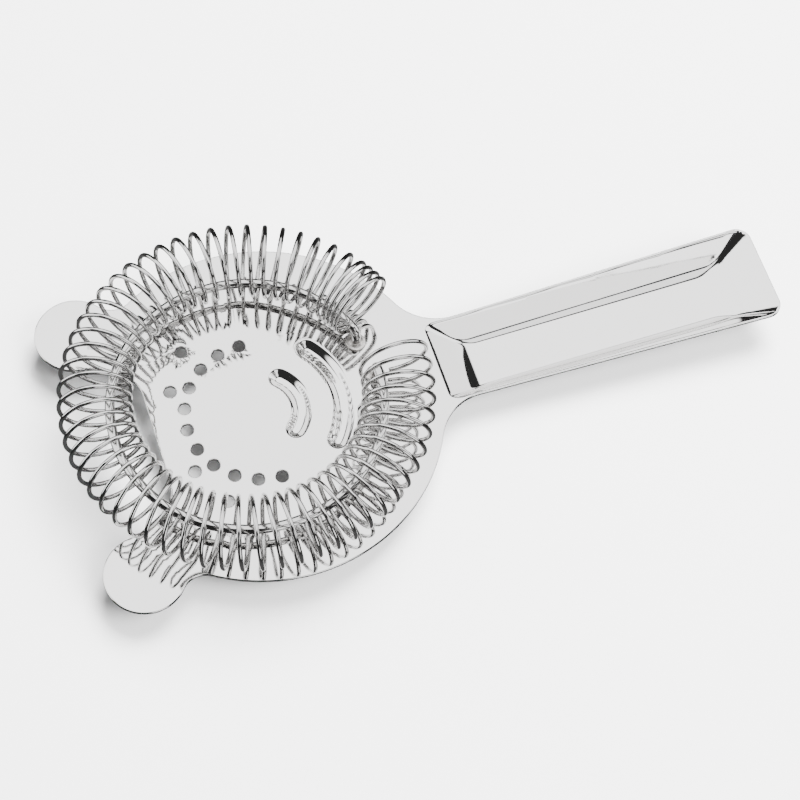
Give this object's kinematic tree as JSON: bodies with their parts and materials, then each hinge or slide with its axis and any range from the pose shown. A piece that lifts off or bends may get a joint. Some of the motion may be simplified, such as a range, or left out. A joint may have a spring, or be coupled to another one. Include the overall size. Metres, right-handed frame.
{
  "type": "hawthorne strainer",
  "caption": "Bar strainer: pressed steel plate with two ears and a tray handle, with a coil spring strung on a wire hoop round the plate.",
  "frame": {"origin": "centre of the round plate, on the face that carries the spring", "axes": "+Z out of the plate on the spring side, +X along the handle away from the plate"},
  "size_m": [0.2, 0.0995, 0.0322],
  "materials": {
    "sheet_steel": "mirror polished stainless steel",
    "spring_steel": "bright drawn stainless wire, for the spring and the hoop",
    "weld_steel": "brushed weld metal"
  },
  "bodies": {
    "strainer": {"strainer_plate": "sheet_steel", "wire_hoop": "spring_steel", "hoop_weld_left": "weld_steel", "hoop_weld_right": "weld_steel"},
    "spring": {"coil_spring": "spring_steel"}
  },
  "joints": [
    {"name": "spring_squeeze", "type": "slide", "parent": "strainer", "child": "spring", "axis": [1, 0, 0], "range_m": [0, 0.003], "stiffness_N_per_m": 600, "deforming": ["coil_spring"]}
  ]
}
